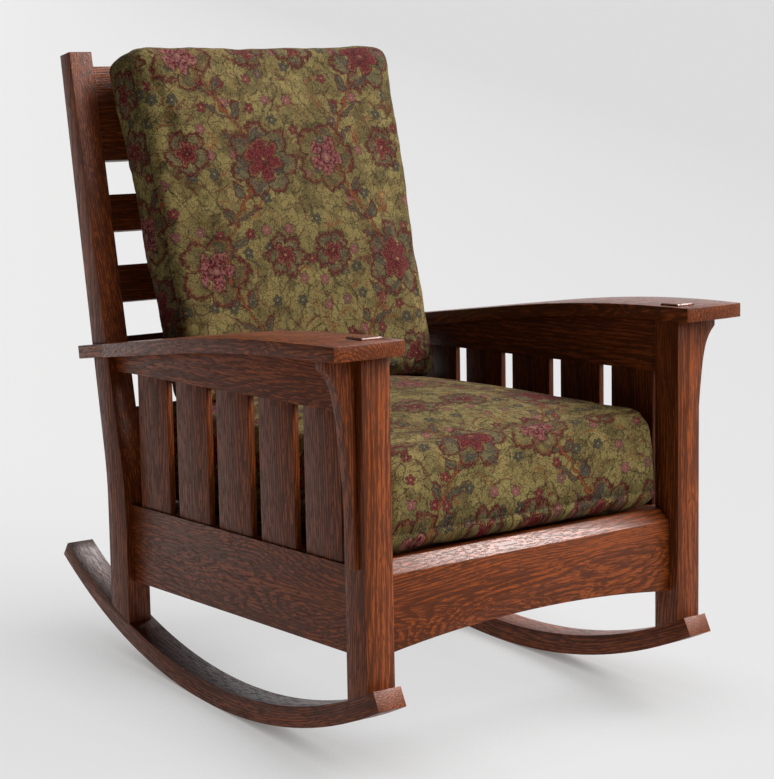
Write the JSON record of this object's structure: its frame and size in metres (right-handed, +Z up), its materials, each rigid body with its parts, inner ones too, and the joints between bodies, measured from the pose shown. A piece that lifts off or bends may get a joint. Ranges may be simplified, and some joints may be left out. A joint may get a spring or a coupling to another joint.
{
  "type": "rocking chair",
  "caption": "Slat-sided wooden rocking chair with flat bow arms, corbels, a slatted raked back, curved floor runners and loose seat and back cushions.",
  "frame": {"origin": "on the floor under the middle of the chair's box, with the empty chair at rest on its runners", "axes": "+Z up, the chair faces -Y, +X is on the right of someone who faces the chair"},
  "size_m": [0.7544, 0.852, 0.9158],
  "materials": {
    "fumed_oak": "satin reddish-brown stain over open grain",
    "cushion_fabric": "matt woven upholstery, olive ground with a botanical pattern",
    "screw_steel": "plain screws, out of sight"
  },
  "bodies": {
    "frame": {"left_front_post": "fumed_oak", "right_front_post": "fumed_oak", "left_rear_post": "fumed_oak", "right_rear_post": "fumed_oak", "left_runner": "fumed_oak", "right_runner": "fumed_oak", "left_arm": "fumed_oak", "right_arm": "fumed_oak", "left_corbel": "fumed_oak", "right_corbel": "fumed_oak", "left_lower_rail": "fumed_oak", "right_lower_rail": "fumed_oak", "left_upper_rail": "fumed_oak", "right_upper_rail": "fumed_oak", "left_slat_1": "fumed_oak", "left_slat_2": "fumed_oak", "left_slat_3": "fumed_oak", "left_slat_4": "fumed_oak", "left_slat_5": "fumed_oak", "right_slat_1": "fumed_oak", "right_slat_2": "fumed_oak", "right_slat_3": "fumed_oak", "right_slat_4": "fumed_oak", "right_slat_5": "fumed_oak", "front_rail": "fumed_oak", "rear_seat_rail": "fumed_oak", "back_top_rail": "fumed_oak", "back_slat_1": "fumed_oak", "back_slat_2": "fumed_oak", "back_slat_3": "fumed_oak", "back_slat_4": "fumed_oak", "left_cleat": "fumed_oak", "right_cleat": "fumed_oak", "front_cleat": "fumed_oak", "left_corner_block": "fumed_oak", "right_corner_block": "fumed_oak", "seat_slat_1": "fumed_oak", "seat_slat_2": "fumed_oak", "seat_slat_3": "fumed_oak", "seat_slat_4": "fumed_oak", "seat_slat_5": "fumed_oak", "seat_slat_6": "fumed_oak", "seat_slat_7": "fumed_oak", "runner_screws": "screw_steel", "cleat_screws": "screw_steel", "seat_slat_screws": "screw_steel"},
    "seat_cushion": {"seat_cushion": "cushion_fabric"},
    "back_cushion": {"back_cushion": "cushion_fabric"}
  },
  "joints": [
    {"name": "seat_cushion_lift", "type": "slide", "parent": "frame", "child": "seat_cushion", "axis": [0, 0, 1], "range_m": [0, 0.12]},
    {"name": "back_cushion_lift", "type": "slide", "parent": "seat_cushion", "child": "back_cushion", "axis": [0, 0, 1], "range_m": [0, 0.2]}
  ]
}
